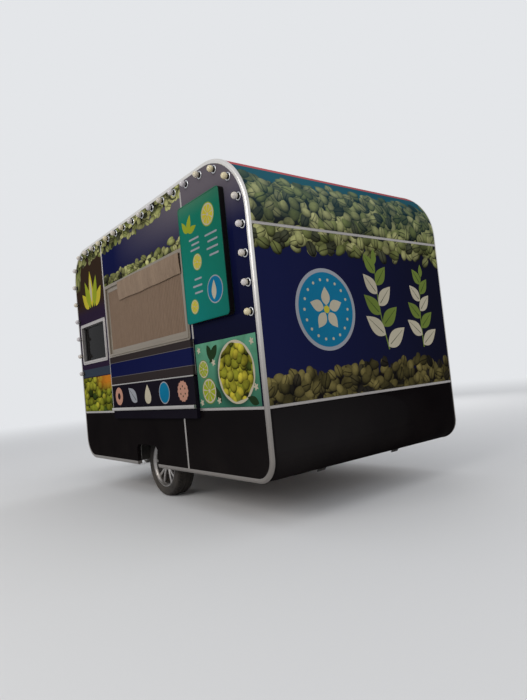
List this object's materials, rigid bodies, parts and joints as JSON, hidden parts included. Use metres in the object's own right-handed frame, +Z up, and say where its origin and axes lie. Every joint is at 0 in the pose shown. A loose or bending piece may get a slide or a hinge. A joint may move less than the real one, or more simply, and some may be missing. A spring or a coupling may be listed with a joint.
{
  "type": "food trailer",
  "caption": "Towed single-axle food trailer with a box body, rounded ends, fold-down counter, window, entry door, drawbar, jockey wheel and corner steadies.",
  "frame": {"origin": "on the ground, under the middle of the length from the rear face to the coupling's tip and of the width", "axes": "+X forward to the drawbar, +Y left to the serving side, +Z up"},
  "size_m": [4.623, 2.197, 2.66],
  "materials": {
    "navy_panel": "gloss",
    "black_panel": "gloss",
    "silver_trim": "satin",
    "frame_metal": "satin",
    "pane": "gloss",
    "kraft_board": "matte",
    "kraft_flap": "matte",
    "print_panel": "gloss",
    "menu_teal": "gloss",
    "bulb_glass": "gloss",
    "floor_ply": "matte",
    "chassis_paint": "satin",
    "zinc_steel": "satin",
    "box_sheet": "satin",
    "steel_top": "satin",
    "tyre": "matte",
    "rim_alloy": "satin",
    "drum_iron": "matte",
    "jockey_rubber": "matte",
    "vent_white": "satin",
    "handle_metal": "gloss"
  },
  "bodies": {
    "body": {"rear_skirt": "black_panel", "rear_wall": "navy_panel", "rear_cowl": "navy_panel", "roof": "navy_panel", "front_wall": "navy_panel", "front_skirt": "black_panel", "serving_wall_rear": "navy_panel", "serving_wall_middle": "navy_panel", "serving_wall_front": "navy_panel", "serving_skirt": "black_panel", "far_wall": "navy_panel", "far_skirt": "black_panel", "trim_serving": "silver_trim", "trim_far": "silver_trim", "counter_fascia": "print_panel", "counter_rails": "silver_trim", "joint_strips": "silver_trim", "serving_window_frame": "frame_metal", "serving_window_glass": "pane", "front_window_frame": "silver_trim", "front_window_glass": "pane", "blind": "kraft_board", "pelmet": "kraft_flap", "menu_box": "menu_teal", "marquee_bulbs": "bulb_glass", "door_frame": "silver_trim", "door_hinges": "zinc_steel", "floor": "floor_ply", "wheel_boxes": "box_sheet", "chassis_frame": "chassis_paint", "drawbar": "chassis_paint", "coupling": "zinc_steel", "jockey_tube": "zinc_steel", "axle_beam": "chassis_paint", "steady_brackets": "chassis_paint", "worktop": "steel_top", "roof_vent": "vent_white"},
    "wheel_left": {"tyre_left": "tyre", "rim_left": "rim_alloy", "drum_left": "drum_iron"},
    "wheel_right": {"tyre_right": "tyre", "rim_right": "rim_alloy", "drum_right": "drum_iron"},
    "jockey_leg": {"jockey_leg": "zinc_steel"},
    "jockey_wheel": {"jockey_wheel": "jockey_rubber"},
    "counter_flap": {"counter_flap": "print_panel"},
    "door": {"door_leaf": "navy_panel", "door_handle": "handle_metal"},
    "steady_rear_left": {"steady_rear_left": "chassis_paint"},
    "steady_rear_right": {"steady_rear_right": "chassis_paint"},
    "steady_front_left": {"steady_front_left": "chassis_paint"},
    "steady_front_right": {"steady_front_right": "chassis_paint"}
  },
  "joints": [
    {"name": "wheel_left_spin", "type": "hinge", "parent": "body", "child": "wheel_left", "pos_m": [-0.49, 0.822, 0.2915], "axis": [0, 1, 0], "continuous": true},
    {"name": "wheel_right_spin", "type": "hinge", "parent": "body", "child": "wheel_right", "pos_m": [-0.49, -0.822, 0.2915], "axis": [0, 1, 0], "continuous": true},
    {"name": "jockey_swivel", "type": "hinge", "parent": "body", "child": "jockey_leg", "pos_m": [1.83, 0, 0.25], "axis": [0, 0, 1], "continuous": true},
    {"name": "jockey_roll", "type": "hinge", "parent": "jockey_leg", "child": "jockey_wheel", "pos_m": [1.785, 0, 0.1], "axis": [0, 1, 0], "continuous": true},
    {"name": "counter_fold", "type": "hinge", "parent": "body", "child": "counter_flap", "pos_m": [-1.48, 1.085, 1.065], "axis": [-1, 0, 0], "range_deg": [0, 90]},
    {"name": "door_swing", "type": "hinge", "parent": "body", "child": "door", "pos_m": [-1.214, -1.066, 1], "axis": [0, 0, 1], "range_deg": [0, 110]},
    {"name": "steady_rear_left_drop", "type": "hinge", "parent": "body", "child": "steady_rear_left", "pos_m": [-1.75, 0.43, 0.29], "axis": [0, -1, 0], "range_deg": [0, 50]},
    {"name": "steady_rear_right_drop", "type": "hinge", "parent": "body", "child": "steady_rear_right", "pos_m": [-1.75, -0.43, 0.29], "axis": [0, -1, 0], "range_deg": [0, 50]},
    {"name": "steady_front_left_drop", "type": "hinge", "parent": "body", "child": "steady_front_left", "pos_m": [0.35, 0.43, 0.29], "axis": [0, 1, 0], "range_deg": [0, 50]},
    {"name": "steady_front_right_drop", "type": "hinge", "parent": "body", "child": "steady_front_right", "pos_m": [0.35, -0.43, 0.29], "axis": [0, 1, 0], "range_deg": [0, 50]}
  ]
}
